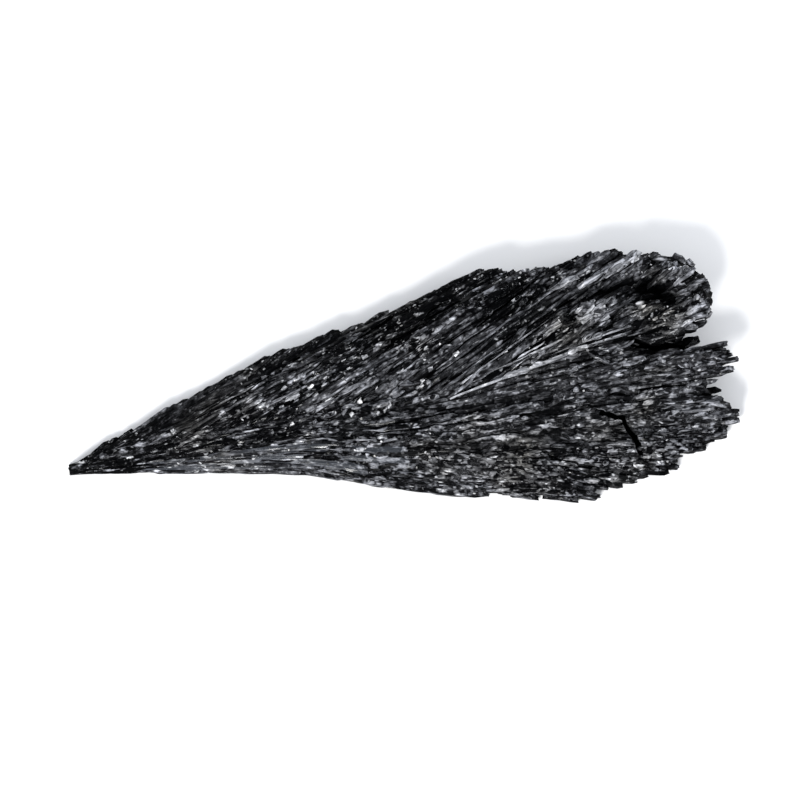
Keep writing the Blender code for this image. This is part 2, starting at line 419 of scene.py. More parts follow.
def bulge_layers(guides, rng):
    """Short layered blades, stacked in steps, that make the round end between its two lobes."""
    lumps(guides, rng, 80, (47, 63.5), (-6.5, 2.2), (-6, 9), (-0.35, 0.35), 0.3, 0.7,
          (0.4, 1.0), 0.4)


def lobe_lumps(guides, rng):
    """Short stout blades that make the far lobe of the broken end blocky."""
    lumps(guides, rng, 60, (45, 62), (5.0, 12.0), (24, 18), (-0.7, 0.55), 0.0, 0.6,
          (0.7, 1.6), 0.45)


# The ends of the big teeth of the near edge, x and y, and the heading of the blades there
TEETH = (
    (40.2, -9.1, -14), (44.9, -10.1, -21), (48.7, -11, -20), (51, -10.9, -12),
    (55.8, -9.6, -14), (58.9, -9.2, -12), (61.9, -7.7, -9), (64, -6.8, -6),
    (65.4, -5.6, -3),
)


def big_teeth(guides, rng):
    """Stacks of blades that end together at each big tooth of the near edge."""
    for x, y, heading in TEETH:
        for layer in range(5):
            along = direction(heading + rng.uniform(-4.0, 4.0))
            width = rng.uniform(0.5, 0.9)
            tip_x, tip_y = x - rng.uniform(0.0, 0.3) * layer, y + rng.uniform(0.0, 0.3) * layer
            tip = (Vector((tip_x, tip_y, 0.0)) + Vector((0.0, 0.35 * width, 0.0))) * MM
            width *= MM
            back = along * rng.uniform(3.0, 4.6) * MM
            points = [tip - back * share for share in (1.0, 0.66, 0.33, 0.0)]
            tops = [crest(point) * (0.5 + 0.13 * layer) for point in points]
            guides.add(points, (width, 0.7 * width), 0.3, tops, rng.uniform(-0.3, 0.3) * width)


# Patches of pale rubble: middle x and y, heading, half length, half width, blocks, lift, paleness
PALE_PATCHES = (
    (52.5, 6.6, 20, 1.35, 1.05, 26, 1.15, 3.1), (57, 11.4, 21, 0.9, 0.4, 5, 0.8, 2.4),
    (60.6, 9.5, 35, 1.2, 0.8, 8, 0.65, 1.6), (62.2, 9.8, 0, 0.8, 0.9, 5, 0.5, 1.7),
    (59.8, 4.2, 0, 2.4, 0.7, 14, 0.6, 1.7), (62.6, 5.6, 10, 1, 0.9, 7, 0.5, 1.4),
    (57, 0.8, -10, 1.8, 0.8, 7, 0.25, 1), (62.2, 0.6, -10, 1.9, 0.9, 9, 0.35, 1.2),
    (61.2, -4.8, -5, 2, 1.2, 9, 0.25, 0.9), (33, 3, 25, 2.5, 1, 8, 0.25, 1.4),
)


def glints(guides, rng, count=84):
    """Small bright cleavage blocks strewn where the barbs leave the spine, with painted glints."""
    for _ in range(count):
        middle = spot(rng.gauss(28.0, 7.0), 0.0)
        middle.y = mm_table(middle.x, SPINE_X, SPINE_Y) + rng.uniform(0.0, 5.8) * MM
        along = direction(rng.gauss(24.0, 5.0))
        points = short_blade(middle, along * rng.uniform(0.15, 0.5) * MM)
        if not points:
            continue
        lift = rng.uniform(0.35, 0.7) * MM
        tops = [crest(point) + lift for point in points]
        floors = [top - 1.1 * MM for top in tops]
        width = rng.uniform(0.35, 0.7) * MM
        pale = rng.uniform(1.2, 4.0)
        roll = rng.uniform(-0.4, 0.1) * width
        guides.add(points, (width, width), floors, tops, roll, 0.0, pale)


def pale_rubble(guides, rng):
    """Small mica-rich blocks that stand out of the two lobes in patches."""
    for x, y, heading, half_length, half_width, count, lift, pale in PALE_PATCHES:
        for _ in range(count):
            turn = math.radians(heading)
            u, v = rng.uniform(-1.0, 1.0), rng.uniform(-1.0, 1.0)
            rise = lift * (1.0 - 0.25 * (u * u + v * v))
            u, v = u * half_length, v * half_width
            middle = spot(x + u * math.cos(turn) - v * math.sin(turn),
                          y + u * math.sin(turn) + v * math.cos(turn))
            along = direction(heading, rng.gauss(0.0, 22.0))
            points = short_blade(middle, along * rng.uniform(0.35, 0.95) * MM)
            if not points:
                continue
            tops = [crest(point) + (rise + rng.uniform(-0.15, 0.15)) * MM for point in points]
            width = rng.uniform(0.45, 0.85) * MM
            roll = rng.uniform(-0.4, 0.4) * width
            shade = pale * rng.uniform(0.4, 1.1)
            guides.add(points, (width, width), 0.6, tops, roll, 0.0, shade)


# Sharp bright blades that cross the fan along the spine, raised to catch the light and painted
# pale as highlights, then wide pale laths near the far edge: start x and y, heading, length, lift,
# width and paleness
RIDGES = (
    (37.4, 0.5, 11.2, 18.5, 0.5, 0.16, 1.9), (40.2, 2, 14, 11, 0.42, 0.15, 1.8),
    (47.5, 3, 11, 9, 0.47, 0.15, 1.8), (38.6, 1.8, 27, 13.5, 0.42, 0.15, 1.8),
    (43.5, 2.8, 22, 7.5, 0.45, 0.15, 1.7), (51.3, 9.2, 20, 3.4, 0.7, 0.7, 1.4),
    (54, 10.1, 23, 3.6, 0.85, 0.75, 1.5), (48.3, 9.2, 17, 3.8, 0.6, 0.6, 1.5),
    (24, 1.6, 18, 7, 0.3, 0.35, 1.3), (19, 2.6, 17, 6, 0.25, 0.3, 1.1),
)


def ridge_blades(guides, rng):
    """The bright blades and laths that stand clear of the ones around them."""
    for x, y, heading, length, lift, width, pale in RIDGES:
        along = direction(heading) * length * MM
        points = [spot(x, y) + along * share for share in (0.0, 0.2, 0.4, 0.6, 0.8, 1.0)]
        points = [point + Vector((0.0, rng.uniform(-0.1, 0.1) * MM, 0.0)) for point in points]
        tops = [crest(point) + (lift + rng.uniform(-0.2, 0.1)) * MM for point in points]
        guides.add(points, (width * MM, width * MM), 0.6, tops, 0.08 * MM, 0.1, pale)


def root_blades(guides, rng):
    """Short blades side by side that make the root blunt."""
    for y, slope in ((-0.2, -0.11), (0.08, 0.0), (0.34, 0.16), (0.15, 0.3)):
        points = [spot(x, y + slope * x) for x in (rng.uniform(-0.3, 0.1), 2.0, 4.0)]
        tops = [crest(point) * rng.uniform(0.85, 1.05) for point in points]
        roll = rng.uniform(-0.1, 0.1) * MM
        guides.add(points, (0.45 * MM, 0.6 * MM), [0.1 * MM] * 3, tops, roll)


def edge_band(guides, rng, count=8):
    """Smooth blades along the near edge, from the root to the middle, slightly paler with a
    painted blue-grey sheen.
    """
    for index in range(count):
        place = 0.01 + 0.13 * index / count
        start, end = rng.uniform(3.0, 14.0) * MM, rng.uniform(24.0, 37.0) * MM
        points = path_points(fan_point, place, start, end)
        tops = [crest(point) + 0.08 * MM for point in points]
        floors = [max(0.1 * MM, 0.4 * top) for top in tops]
        guides.add(points, (0.3 * MM, 0.8 * MM), floors, tops, 0.06 * MM, 0.6)


# Clefts: points along each, its width, and how deep it goes as a share of the height. The first
# parts the two lobes and the second is the jagged crack in the near one
CLEFTS = (
    (((55.4, 3.2), (57.2, 2.5), (59.4, 2.4), (60.6, 2), (61.8, 2.3), (64, 2.5), (65.8, 2.2)),
     0.75, 0.66),
    (((51.1, -2.7), (52.4, -3.3), (53.8, -3.7), (53.9, -4.8), (54.6, -5.8), (55, -8)),
     0.62, 0.5),
    (((45.6, -2.3), (48.5, -2.7), (51.3, -2.5)), 0.25, 0.2),
    (((24, 5.2), (29, 7.5), (33.5, 9.8)), 0.3, 0.3),
    (((30, 5.2), (35, 8), (38.5, 10.3)), 0.3, 0.28),
    (((12, 2.4), (18, 4.6), (24, 7.2)), 0.26, 0.3),
    (((41, 7), (45, 9.4), (48.5, 11.3)), 0.3, 0.28),
    (((44, 5.4), (48.5, 7.2), (51, 8.3)), 0.3, 0.28),
    (((46, -6), (48, -7.2), (50, -7.7), (52, -9.2)), 0.45, 0.2),
    (((62.5, -3), (64.5, -3.1), (69, -3.3)), 0.3, 0.3),
)
CUT_TWICE = 2
CLEFT_STEP = 0.8 * MM


def clefts(guides, rng):
    """The open clefts as cutters, with another cut along each of the two main ones."""
    for route, width, depth in CLEFTS + CLEFTS[:CUT_TWICE]:
        points = []
        for first, second in zip(route, route[1:]):
            step = spot(second[0] - first[0], second[1] - first[1])
            pieces = max(1, round(step.length / CLEFT_STEP))
            points += [spot(*first) + step * index / pieces for index in range(pieces)]
        points.append(spot(*route[-1]))
        sway = [Vector((0.0, rng.uniform(-0.4, 0.4), 0.0)) * width * MM for _ in points]
        points = [point + shift for point, shift in zip(points, sway)]
        floors = [crest(point) * (1.0 - depth * rng.uniform(0.8, 1.1)) for point in points]
        tops = [FAN_THICKNESS * 1.5] * len(points)
        guides.add(points, (0.5 * width * MM, width * MM), floors, tops, cut=1.0)


def flat_trim(guides, rng):
    """A wide smooth cutter that leaves nothing below the surface that the fan lies on."""
    points = [Vector((share * FAN_LENGTH, 0.0, 0.0)) for share in (-0.1, 0.5, 1.1)]
    guides.add(points, (40 * MM, 40 * MM), [-3 * MM] * 3, [0.0] * 3, polish=1.0, cut=1.0)


# ---- node trees
VECTOR = "FLOAT_VECTOR"  # the data type of a stored vector


def placed(name, data):
    """A new object in the scene."""
    made = bpy.data.objects.new(name, data)
    bpy.context.scene.collection.objects.link(made)
    return made


def operator(operation, swapped=False):
    """A method that adds the Math node of a socket and another value."""
    def method(self, other):
        return self.tree.maths(operation, *((other, self) if swapped else (self, other)))
    return method


class Socket:
    """A node socket that takes part in arithmetic: each operator adds its Math node."""

    __add__ = __radd__ = operator("ADD")
    __sub__, __rsub__ = operator("SUBTRACT"), operator("SUBTRACT", swapped=True)
    __mul__ = __rmul__ = operator("MULTIPLY")
    __truediv__, __pow__ = operator("DIVIDE"), operator("POWER")
    maximum, minimum = operator("MAXIMUM"), operator("MINIMUM")

    def __init__(self, tree, link):
        self.tree, self.link = tree, link

    def floor(self):
        return self.tree.maths("FLOOR", self)

    def clamped(self):
        """Held between 0 and 1."""
        return self.maximum(0.0).minimum(1.0)

    def over(self, low, high):
        """0 below low, 1 above high, and even between them."""
        return ((self - low) / (high - low)).clamped()


class Tree:
    """A node tree under construction, for geometry or for a material."""

    def __init__(self, tree):
        self.tree = tree

    def plug(self, target, value):
        if isinstance(value, Socket):
            value = value.link
        if isinstance(value, bpy.types.NodeSocket):
            self.tree.links.new(value, target)
        else:
            target.default_value = value

    def fill(self, node, inputs):
        """Gives a node its values or links, by socket name or in order."""
        for key, value in inputs.items() if isinstance(inputs, dict) else enumerate(inputs):
            self.plug(node.inputs[key], value)

    def add(self, kind, inputs=(), **settings):
        """A node of this type, with its settings made before its inputs are filled."""
        node = self.tree.nodes.new(kind)
        for name, value in settings.items():
            setattr(node, name, value)
        self.fill(node, inputs)
        return node

    def value(self, kind, inputs=(), output=0, **settings):
        """The same, as the socket of one of its outputs."""
        return Socket(self, self.add(kind, inputs, **settings).outputs[output])

    def maths(self, operation, *operands):
        return self.value("ShaderNodeMath", operands, operation=operation)

    def vector(self, operation, *operands):
        return self.value("ShaderNodeVectorMath", operands, operation=operation)

    def scaled(self, vector, scale):
        return self.value("ShaderNodeVectorMath", {0: vector, "Scale": scale}, operation="SCALE")

    def xyz(self, x, y, z):
        return self.value("ShaderNodeCombineXYZ", [x, y, z])

    def parts(self, vector):
        node = self.add("ShaderNodeSeparateXYZ", [vector])
        return [Socket(self, output) for output in node.outputs]

    def noise(self, vector, scale=1.0, detail=2.0, roughness=0.5):
        """Smooth noise from 0 to 1."""
        inputs = {"Vector": vector, "Scale": scale, "Detail": detail, "Roughness": roughness}
        return self.value("ShaderNodeTexNoise", inputs)

    def cells(self, vector):
        """Flat cells: two random numbers of each, and the distance to its edge."""
        inputs = {"Vector": vector, "Scale": 1.0}
        colour = self.value("ShaderNodeTexVoronoi", inputs, "Color", voronoi_dimensions="2D")
        edge = self.value("ShaderNodeTexVoronoi", inputs, voronoi_dimensions="2D",
                          feature="DISTANCE_TO_EDGE")
        own, other, _ = self.parts(colour)
        return own, other, edge

    def white(self, vector):
        """Another number from 0 to 1 for every other vector."""
        return self.value("ShaderNodeTexWhiteNoise", [vector], noise_dimensions="3D")

    def attribute(self, name):
        """The three numbers of a vector that the mesh carries, in a material."""
        return self.parts(self.value("ShaderNodeAttribute", (), "Vector", attribute_name=name))

    def mixed(self, factor, first, second):
        """One colour turned into another by a factor."""
        node = self.add("ShaderNodeMix", {"Factor": factor}, data_type="RGBA")
        ends = [socket for socket in node.inputs if socket.type == "RGBA"]
        self.plug(ends[0], first)
        self.plug(ends[1], second)
        return Socket(self, next(socket for socket in node.outputs if socket.type == "RGBA"))


class GeometryTree(Tree):
    """A Geometry Nodes tree that makes one mesh from another."""

    def __init__(self, name):
        super().__init__(bpy.data.node_groups.new(name, "GeometryNodeTree"))
        for way in ("INPUT", "OUTPUT"):
            self.tree.interface.new_socket("Mesh", in_out=way, socket_type="NodeSocketGeometry")
        self.given = self.value("NodeGroupInput")

    def geo(self, kind, inputs=(), output=0, **settings):
        """The socket of a geometry node, whose type is named without its prefix."""
        return self.value("GeometryNode" + kind, inputs, output, **settings)

    def named(self, name, kind="FLOAT"):
        return self.geo("InputNamedAttribute", {"Name": name}, data_type=kind)

    def store(self, geometry, kind="FLOAT", domain="POINT", **values):
        """The geometry with each of the values stored on it under its name."""
        for name, value in values.items():
            inputs = {"Geometry": geometry, "Name": name, "Value": value}
            geometry = self.geo("StoreNamedAttribute", inputs, data_type=kind, domain=domain)
        return geometry

    def finish(self, geometry, material):
        inputs = {"Geometry": geometry, "Material": material}
        self.add("NodeGroupOutput", [self.geo("SetMaterial", inputs)])
        return self

    def run(self, name, mesh):
        """The plain mesh that this tree makes, as an object."""
        made = placed(name, mesh)
        modifier = made.modifiers.new(name, "NODES")
        modifier.node_group = self.tree
        graph = bpy.context.evaluated_depsgraph_get()
        result = bpy.data.meshes.new_from_object(made.evaluated_get(graph))
        made.modifiers.remove(modifier)
        made.data = result
        result.name = name
        return made


# The wear of a blade: its rings' spacing, how round its top is, the size of its striations, of its
# strands with their broken ledges and of its chipped and crumbled ends, and its sides' wobble
RING_SPACING, CROWN = 0.7 * MM, 0.32
STRIATION_DEPTH, STRIATION_PITCH, STRIATION_LENGTH = 0.07 * MM, 0.28 * MM, 12 * MM
STRAND_WIDTH, LEDGE_LENGTH, LEDGE_HEIGHT = 0.42 * MM, 4.5 * MM, 0.2 * MM
CHIP_LENGTH, CRUMBLE_SIZE, BREAK_DEPTH = 1.1 * MM, 0.6 * MM, 0.5 * MM
WOBBLE_LENGTH = 3.0 * MM
# A part of the grown mesh with fewer points than this is a loose crumb or a sealed gap
CRUMB_POINTS = 1000.0


def blade_tree(outline, material):
    """Sweeps a striated blade with a broken end along each guide line, and grows them together."""
    t = GeometryTree("grow_blades")
    # The guide lines, with what a blade needs to know at each ring
    rings = t.geo("MeshToCurve", [t.given])
    rings = t.geo("ResampleCurve", {"Curve": rings, "Length": RING_SPACING}, mode="LENGTH")
    start = t.geo("SplineParameter", (), "Length")
    rings = t.store(rings, VECTOR, centre=t.geo("InputPosition"), forward=t.geo("InputTangent"))
    rings = t.store(rings, from_start=start, to_end=t.geo("SplineLength") - start)

    # The section swept along the lines
    section = t.geo("MeshToCurve", [t.geo("ObjectInfo", {"Object": outline}, "Geometry")])
    section = t.store(section, VECTOR, section=t.geo("InputPosition"))
    bars = t.geo("CurveToMesh", {"Curve": rings, "Profile Curve": section, "Fill Caps": True})

    # Each point's place on its blade
    side, up, _ = t.parts(t.named("section", VECTOR))
    rise = up + 0.5
    blade, along = t.named("blade", "INT"), t.named("from_start")
    width, floor, top = t.named("width"), t.named("floor"), t.named("top")
    number = blade * 7.31
    near_end = 1.0 - t.named("to_end").over(0.0, CHIP_LENGTH)
    near_start = 1.0 - along.over(0.0, CHIP_LENGTH)
    rough = 1.0 - t.named("polish")
    wobble = (t.noise(t.xyz(along / WOBBLE_LENGTH, number, 0.0)) - 0.5) * rough
    tip = t.white(t.xyz(blade, 1.0, 0.0)) * 0.45 + 0.1
    full_width = width * (1.0 + wobble * 0.6) * (1.0 - near_end * near_end * tip)
    across = side * full_width
    girth = across + rise * (top - floor)

    # Striations run the length of the blade, ledges break off part of the way along it
    streaks = t.xyz(girth / STRIATION_PITCH, along / STRIATION_LENGTH, number)
    streaks = (t.noise(streaks, 1.0, 2.0, 0.6) - 0.5) * STRIATION_DEPTH
    strand = (girth / STRAND_WIDTH + t.white(t.xyz(blade, 2.0, 0.0)) * 5.0).floor()
    stretch = (along / LEDGE_LENGTH + t.white(t.xyz(strand, blade, 3.0)) * 4.0).floor()
    ledges = (t.white(t.xyz(strand, stretch, number)) - 0.6) * LEDGE_HEIGHT
    bulge = (streaks * 2.0 + ledges) * (0.15 + 0.85 * rough) * rough.over(0.0, 0.1)
    chipped = near_end * near_end * (t.white(t.xyz(blade, 4.0, 0.0)) * 0.7 + 0.15)
    drop = (chipped + near_start * near_start * 0.8) * LEDGE_HEIGHT * 4.0 * rough
    roll = t.named("roll") * side * 2.0
    rounding = side * side * 4.0 * CROWN * full_width * rough
    height = floor + rise * (top - floor + roll - drop - rounding) + bulge * up * 2.0
    crumble = t.noise(t.xyz(girth / CRUMBLE_SIZE, height / CRUMBLE_SIZE, number), 1.0, 2.0, 0.7)
    back = near_end * crumble * BREAK_DEPTH * 1.6

    # The blade's own frame: along it, across it, and up
    forward = t.named("forward", VECTOR)
    leftward = t.vector("NORMALIZE", t.vector("CROSS_PRODUCT", (0.0, 0.0, 1.0), forward))
    sideways = t.scaled(leftward, across + bulge * side * 2.0)
    place = t.vector("ADD", t.named("centre", VECTOR), sideways)
    place = t.vector("ADD", place, t.scaled(forward, back * -1.0))
    place = t.vector("ADD", place, t.xyz(0.0, 0.0, height))
    bars = t.geo("SetPosition", {"Geometry": bars, "Position": place})
    # How far each point lies below its open height, which the material paints as shade
    bars = t.store(
        bars, VECTOR, "CORNER",
        grain=t.xyz(along, girth, blade),
        looks=t.xyz(t.named("polish"), t.named("pale"), t.named("open_height") - height),
        wear=t.xyz(t.named("crumb"), near_end.maximum(near_start), t.named("margin")),
        heading=forward,
    )

    # Grown together into one solid, from which the cutters are taken
    cutter = t.maths("GREATER_THAN", t.named("cut"), 0.5)
    parted = t.add("GeometryNodeSeparateGeometry", [bars, cutter], domain="POINT")
    cutters, blades = [
        t.geo("SplitToInstances", {0: part, "Group ID": blade}, domain="POINT")
        for part in parted.outputs[:2]
    ]
    grown = t.geo("MeshBoolean", {"Mesh 2": blades}, operation="UNION", solver="MANIFOLD")
    grown = t.geo("MeshBoolean", {"Mesh 1": grown, "Mesh 2": cutters},
                  operation="DIFFERENCE", solver="MANIFOLD")
    grown = t.geo("RealizeInstances", [grown])

    # Crumbs that the cuts left loose, and sealed gaps between the blades, are dropped
    island = t.geo("InputMeshIsland")
    points = t.geo("AccumulateField", {"Value": 1.0, "Group ID": island}, "Total")
    small = t.maths("LESS_THAN", points, CRUMB_POINTS)
    grown = t.geo("DeleteGeometry", {"Geometry": grown, "Selection": small})
    return t.finish(grown, material)


# The patches that copies are strewn in and the wear on them, both as marks in a metre, and a
# density that leaves their number to their spacing
PATCH_SCALE, WEAR_SCALE, DENSE = 260.0, 4000.0, 1.0e8


def strewing_tree(shape, material, spacing, smallest, largest, tilt, rise, wear, margins, seed):
    """Lays copies of a small shape along the grain of a body's surface, each its own size."""
    t = GeometryTree("strew_along_grain")
    _, _, up = t.parts(t.geo("InputNormal"))
    patches = t.noise(t.geo("InputPosition"), PATCH_SCALE)
    inside = t.named("margin").over(*margins)
    strewn = t.add(
        "GeometryNodeDistributePointsOnFaces",
        {"Mesh": t.given, "Distance Min": spacing, "Density Max": DENSE,
         "Density Factor": up.over(0.3, 0.8) * patches.over(0.42, 0.62) * inside, "Seed": seed},
        distribute_method="POISSON",
    )
    points, normal = Socket(t, strewn.outputs["Points"]), Socket(t, strewn.outputs["Normal"])

    # Each copy lies along the grain, flat on the surface, then turned a little at random
    align, draw = "FunctionNodeAlignRotationToVector", "FunctionNodeRandomValue"
    lie = t.value(align, {"Vector": t.named("heading", VECTOR)}, axis="X")
    lie = t.value(align, {"Rotation": lie, "Vector": normal}, axis="Z", pivot_axis="X")
    turn = t.value(draw, {"Min": t.scaled(tilt, -1.0), "Max": tilt, "Seed": seed},
                   data_type=VECTOR)
    turn = t.value("FunctionNodeEulerToRotation", [turn])
    lie = t.value("FunctionNodeRotateRotation", [lie, turn], rotation_space="LOCAL")
    size = t.value(draw, {"Min": smallest, "Max": largest, "Seed": seed + 1}, data_type=VECTOR)
    points = t.geo("SetPosition", {"Geometry": points, "Offset": t.scaled(normal, rise)})
    points = t.store(t.store(points, copy=t.geo("InputIndex")), VECTOR, copy_size=size)

    one = t.geo("ObjectInfo", {"Object": shape}, "Geometry")
    one = t.store(one, VECTOR, own_place=t.geo("InputPosition"))
    inputs = {"Points": points, "Instance": one, "Rotation": lie, "Scale": size}
    copies = t.geo("RealizeInstances", [t.geo("InstanceOnPoints", inputs)])

    # Worn unevenly, so that no two are alike, with the looks of a blade
    place = t.scaled(t.geo("InputPosition"), WEAR_SCALE)
    rough = t.value("ShaderNodeTexNoise", {"Vector": place}, "Color")
    shift = t.scaled(t.vector("SUBTRACT", rough, (0.5, 0.5, 0.5)), wear)
    copies = t.geo("SetPosition", {"Geometry": copies, "Offset": shift})
    own_place, copy_size = t.named("own_place", VECTOR), t.named("copy_size", VECTOR)
    along, side, height = t.parts(t.vector("MULTIPLY", own_place, copy_size))
    grain = t.xyz(along + 0.01, side + height, t.named("copy") + 2000.0)
    return t.finish(t.store(copies, VECTOR, "CORNER", grain=grain), material)


# ---- materials
def principled(name):
    material = bpy.data.materials.new(name)
    material.use_nodes = True
    tree = material.node_tree
    return material, Tree(tree), tree.nodes["Principled BSDF"]


def kyanite_material():
    """Black striated kyanite: charcoal strands, pale mica flecks, glints on the cleavage, some
    painted white, and painted shade in the gaps.
    """
    material, t, shader = principled("black_kyanite")
    along, girth, blade = t.attribute("grain")
    polish, rich, below = t.attribute("looks")
    crumb, tip, margin_here = t.attribute("wear")
    number = blade.floor() * 3.17

    def marks(length, width, seed, detail=2.0, roughness=0.5):
        """Noise whose marks are this long and wide, in mm, along the grain."""
        place = t.xyz(along / (length * MM), girth / (width * MM), seed)
        return t.noise(place, 1.0, detail, roughness)

    # Cleavage laths, and the grains that they crumble to: each has its own shade, shine and height
    sway = marks(3.0, 1.5, number) * 2.4
    apart = number * 4.7
    laths = t.xyz(along / (2.8 * MM) + apart, girth / (0.46 * MM) + sway, 0.0)
    own, other, edge = t.cells(laths)
    # Painted shade: the grooves between the laths are painted dark as well as sunk
    groove = (1.0 - edge.over(0.02, 0.17)) * (0.5 + 0.5 * other) * (1.0 - 0.7 * crumb)
    tone = t.white(t.xyz(number, 5.0, 0.0))

    strands = marks(4.5, 0.16, number, 3.0, 0.65)
    streaks = marks(4.5, 0.72, number + 60.0, 2.0, 0.6)
    mottle = marks(1.6, 1.1, number, 4.0, 0.7)
    grains = marks(1.15, 0.7, number + 20.0, 2.0, 0.6)
    crumbs = marks(0.62, 0.42, number + 40.0, 2.0, 0.55)

    # Painted shade: how much open sky reaches a point, less the further it lies below the top
    depth = (below + (mottle - 0.5) * (0.6 * MM)) / (1.0 + crumb * 0.8)
    sunk = depth.over(0.0, 0.55 * MM)
    open_top = 1.0 - sunk * (0.5 + 0.48 * margin_here.over(0.3 * MM, 1.5 * MM))

    # How high the laths and grains stand
    relief = own * (0.45 - 0.35 * crumb) + grains * (0.5 + 1.0 * crumb) + crumbs * 0.6
    relief = relief + strands * 0.3 - groove * 0.45

    # How pale the laths and grains are
    lath_shade = (own ** 2.0 * 0.8 + 0.2) * streaks.over(0.44, 0.6)
    grain_shade = grains.over(0.48, 0.57) * (0.55 + 0.45 * own)
    shade = lath_shade * (1.5 - 1.5 * crumb) + grain_shade * (0.3 + 0.42 * crumb)
    shade = shade + crumb * 0.04
    pale = shade * (0.3 + 0.25 * crumb + (1.3 - 0.5 * crumb) * tone)
    pale = pale + crumbs.over(0.52, 0.68) * 0.16
    pale = pale * (0.08 + 0.32 * crumb + (0.92 - 0.32 * crumb) * mottle.over(0.39, 0.55))
    # Each blade's own paleness, which also carries the zones' painted shade and light and the
    # glints' painted highlights
    pale = pale + rich * 0.27 * crumbs.over(0.25, 0.5)
    # Painted shade: the colour darkens where a point is sunk and in the grooves between laths
    pale = pale.maximum(0.0) * (0.02 + 0.98 * open_top) * (1.0 - 0.95 * groove)
    pale = pale ** (1.6 - 0.3 * crumb)

    # Bright flecks, in patches, and the few faces painted white as highlights
    fleck = grains.over(0.46, 0.58) + (rich * 0.4).maximum(0.0)
    fleck = crumbs.over(0.61, 0.68) * fleck.clamped()
    fleck = fleck + grains.over(0.63, 0.7) * crumbs.over(0.42, 0.54) * mottle.over(0.45, 0.55)
    place = t.value("ShaderNodeTexCoord", (), "Object")
    patches = t.noise(place, 280.0).over(0.44, 0.56) * 0.6 + 0.4
    rich_fleck = (rich - 1.2).over(0.0, 2.0) * strands.over(0.3, 0.6) * crumbs.over(0.25, 0.45)
    fleck = fleck * patches + rich_fleck
    # Painted highlight: the palest glint blocks are painted white where they lie open
    lit = (rich - 2.9).over(0.0, 0.6) * open_top * (1.0 - 0.5 * groove)
    fleck = (fleck * open_top * (1.0 - groove) * (1.0 - 0.8 * polish)).clamped()

    dark, grey = (0.0008, 0.0009, 0.0012, 1.0), (0.47, 0.481, 0.53, 1.0)
    silver, sheen_blue_grey = (0.64, 0.65, 0.675, 1.0), (0.072, 0.08, 0.095, 1.0)
    warm_grey, white = (0.495, 0.482, 0.458, 1.0), (0.95, 0.95, 0.97, 1.0)
    grey = t.mixed(t.noise(place, 130.0).over(0.55, 0.75), grey, warm_grey)
    colour = t.mixed(pale * (0.25 + 1.35 * strands), dark, grey)
    # Painted sheen: the smooth blades turn blue-grey
    colour = t.mixed(polish * (0.2 + 0.75 * strands) * (1.0 - tip), colour, sheen_blue_grey)
    colour = t.mixed(fleck, colour, silver)
    colour = t.mixed(lit * crumbs.over(0.3, 0.48), colour, white)
    glint = own.over(0.75, 1.0) * strands.over(0.35, 0.6) * 0.35 + polish * 0.05
    height = relief * (1.0 - 0.75 * polish)
    bump = t.add("ShaderNodeBump", {"Height": height, "Strength": 0.9, "Distance": 0.42 * MM})
    t.fill(shader, {
        "Base Color": colour,
        "Roughness": 0.6 - 0.2 * own + 0.2 * (mottle - 0.5),
        "Metallic": fleck * 0.6 * (1.0 - lit),
        "IOR": 1.33,
        "Specular IOR Level": 0.04,
        "Coat Weight": (glint * open_top * (1.0 - groove)).clamped(),
        "Coat Roughness": 0.16,
        "Coat IOR": 1.9,
        "Normal": bump.outputs["Normal"],
    })
    return material


def mica_material():
    """Small pale mica flakes on the kyanite, some silver and some dark."""
    material, t, shader = principled("mica")
    _, _, copy = t.attribute("grain")
    own = t.white(t.xyz((copy + 0.5).floor(), 2.0, 0.0))
    colour = t.mixed(own ** 6.0, (0.012, 0.0125, 0.014, 1.0), (0.55, 0.55, 0.57, 1.0))
    t.fill(shader, {"Base Color": colour, "Roughness": 0.5 - 0.25 * own, "IOR": 1.58})
    return material


# ---- the pieces
def section_loop(top_cuts=5):
    """The unit section of a blade: a square with more points along its top."""
    top = [(0.5 - index / (top_cuts + 1), 0.5) for index in range(top_cuts + 2)]
    corners = [(-0.5, 0.15), (-0.5, -0.5), (0.0, -0.5), (0.5, -0.5), (0.5, 0.15)]
    bm = bmesh.new()
    verts = [bm.verts.new((x, y, 0.0)) for x, y in top + corners]
    for first, second in zip(verts, verts[1:] + verts[:1]):
        bm.edges.new((first, second))
    return unlinked_shape("section_loop", bm)


def grown_fan(material):
    guides = Guides()
    layers = (core_blades, side_courses, near_blades, barbs, edge_teeth, big_teeth, bulge_layers,
              lobe_lumps, glints, pale_rubble, ridge_blades, root_blades, edge_band, clefts,
              flat_trim)
    for number, lay in enumerate(layers):
        lay(guides, random.Random(100 * SEED + number))
    section = section_loop()
    fan = blade_tree(section, material).run("kyanite_fan", guides.mesh("guide_lines"))
    bpy.data.objects.remove(section)
    return fan


def splinter_shape():
    """A thin bar of unit length, width and height, narrowed and skewed at its two ends."""
    bm = bmesh.new()
    bmesh.ops.create_cube(bm, size=1.0)
    lengthwise = [edge for edge in bm.edges if abs(edge.verts[0].co.x - edge.verts[1].co.x) > 0.5]
    bmesh.ops.subdivide_edges(bm, edges=lengthwise, cuts=2, use_grid_fill=True)
    for vert in bm.verts:
        if abs(vert.co.x) > 0.4:
            vert.co.y *= 0.55
            vert.co.z = vert.co.z * 0.5 - 0.15
            vert.co.x += 0.25 * vert.co.y
    return unlinked_shape("splinter_shape", bm)


def flake_shape():
    """A five-sided plate of unit width and height."""
    bm = bmesh.new()
    bmesh.ops.create_cone(bm, cap_ends=True, segments=5, radius1=0.5, radius2=0.42, depth=1.0)
    return unlinked_shape("flake_shape", bm)


def unlinked_shape(name, bm):
    mesh = bpy.data.meshes.new(name)
    bm.to_mesh(mesh)
    bm.free()
    return bpy.data.objects.new(name, mesh)


